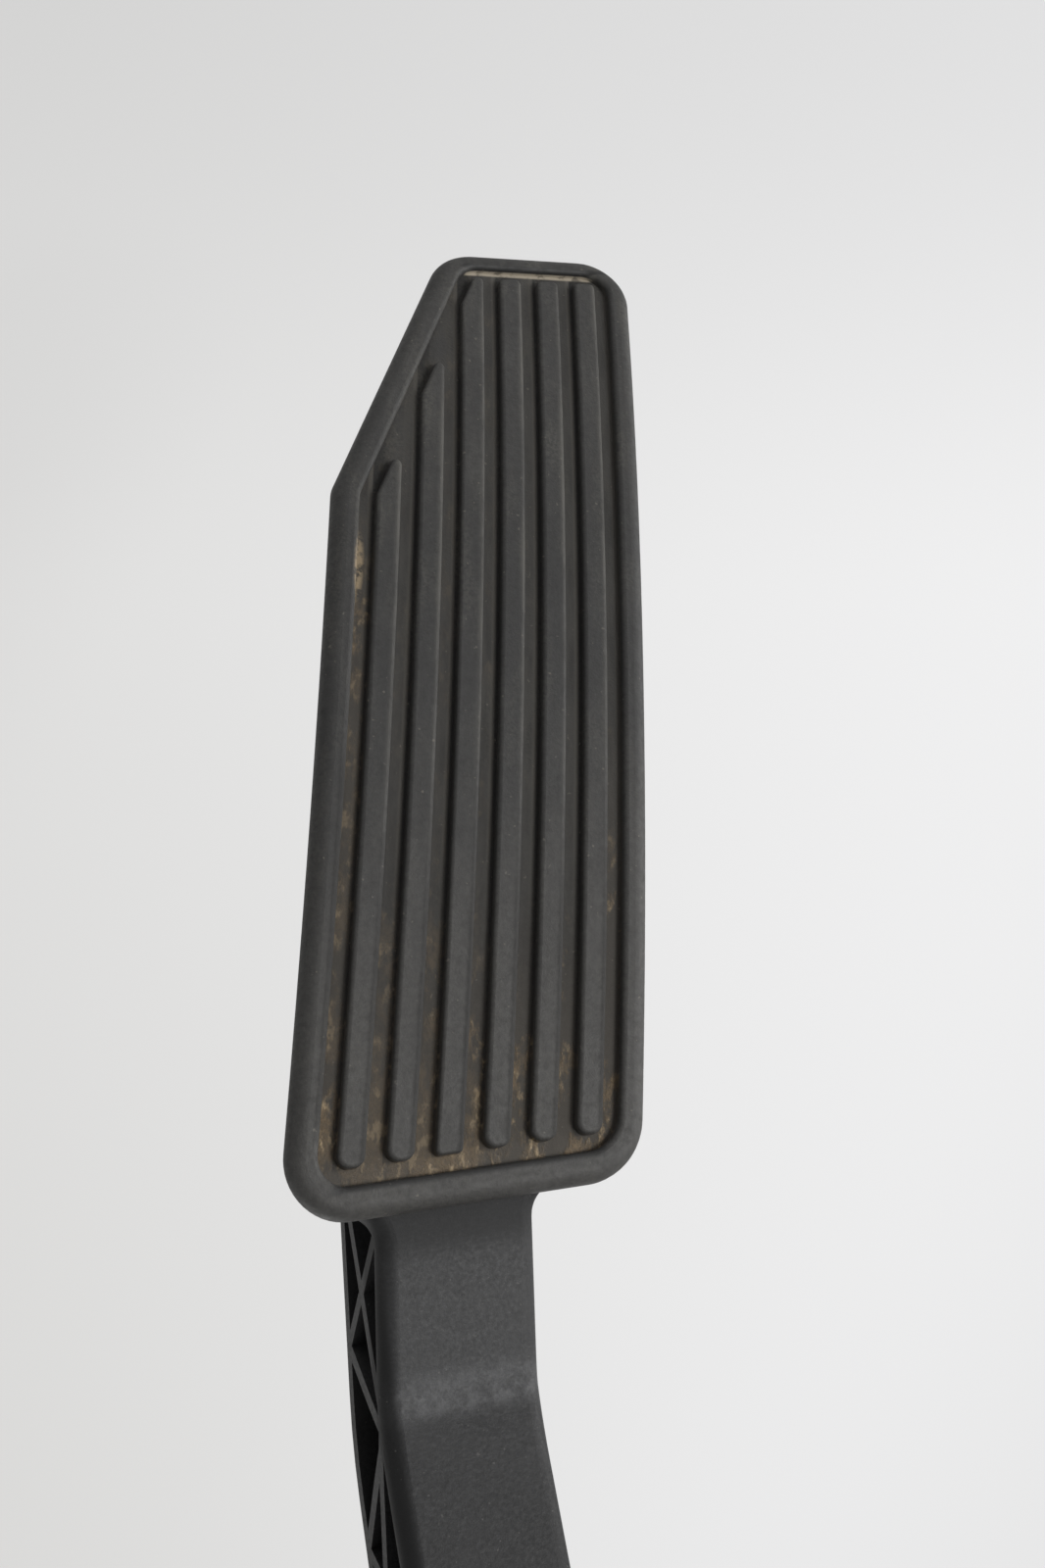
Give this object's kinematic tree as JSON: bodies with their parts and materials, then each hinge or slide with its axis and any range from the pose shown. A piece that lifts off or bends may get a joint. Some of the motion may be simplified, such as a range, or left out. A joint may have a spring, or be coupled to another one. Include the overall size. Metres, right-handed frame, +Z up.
{
  "type": "accelerator pedal",
  "caption": "Hanging accelerator pedal: slanted, crowned tread pad with long ribs on a lattice-ribbed arm, pivoted in a bolted housing with return springs and a position sensor.",
  "frame": {"origin": "middle of the bolt circle on the mounting face of the housing", "axes": "+Y forward into the bulkhead, square to the mounting face; +Z up; +X to the driver's right, along the pivot"},
  "size_m": [0.1191, 0.1979, 0.3049],
  "materials": {
    "tread_rubber": "matte warm-black moulded rubber",
    "arm_plastic": "fine-grained glass-filled nylon",
    "housing_plastic": "fine-grained glass-filled nylon",
    "steel": "zinc-plated steel",
    "spring_steel": "oiled spring wire",
    "bush_metal": "bronze-backed bearing lining",
    "shoe_plastic": "natural acetal",
    "stop_rubber": "moulded rubber",
    "rotor_plastic": "moulded plastic",
    "magnet": "sintered magnet, coated",
    "board": "solder-masked circuit board",
    "chip": "moulded package",
    "terminal": "tinned terminal"
  },
  "bodies": {
    "housing": {"right_bush": "bush_metal", "left_bush": "bush_metal", "housing": "housing_plastic", "side_cover": "housing_plastic", "side_cover_screws": "steel", "mount_sleeves": "steel", "outer_spring": "spring_steel", "inner_spring": "spring_steel", "idle_stop": "stop_rubber", "full_stop": "stop_rubber", "sensor_board": "board", "hall_sensors": "chip", "terminal_pins": "terminal", "sensor_cover": "housing_plastic", "sensor_gasket": "stop_rubber", "sensor_cover_screws": "steel"},
    "pedal": {"tread_pad": "tread_rubber", "pedal_arm": "arm_plastic", "pivot_axle": "steel", "axle_clip": "spring_steel", "sensor_rotor": "rotor_plastic", "sensor_magnet": "magnet"},
    "shoe": {"friction_shoe": "shoe_plastic"}
  },
  "joints": [
    {"name": "pedal_pivot", "type": "hinge", "parent": "housing", "child": "pedal", "pos_m": [0, -0.042, 0], "axis": [1, 0, 0], "range_deg": [0, 16], "stiffness_Nm_per_rad": 12, "springref_deg": -12.89},
    {"name": "shoe_slide", "type": "slide", "parent": "housing", "child": "shoe", "axis": [0, 1, 0], "range_m": [0, 0.00779], "deforming": ["outer_spring", "inner_spring"]}
  ],
  "couplings": [
    {"joint": "shoe_slide", "follows": "pedal_pivot", "m_per_rad": 0.027909}
  ]
}
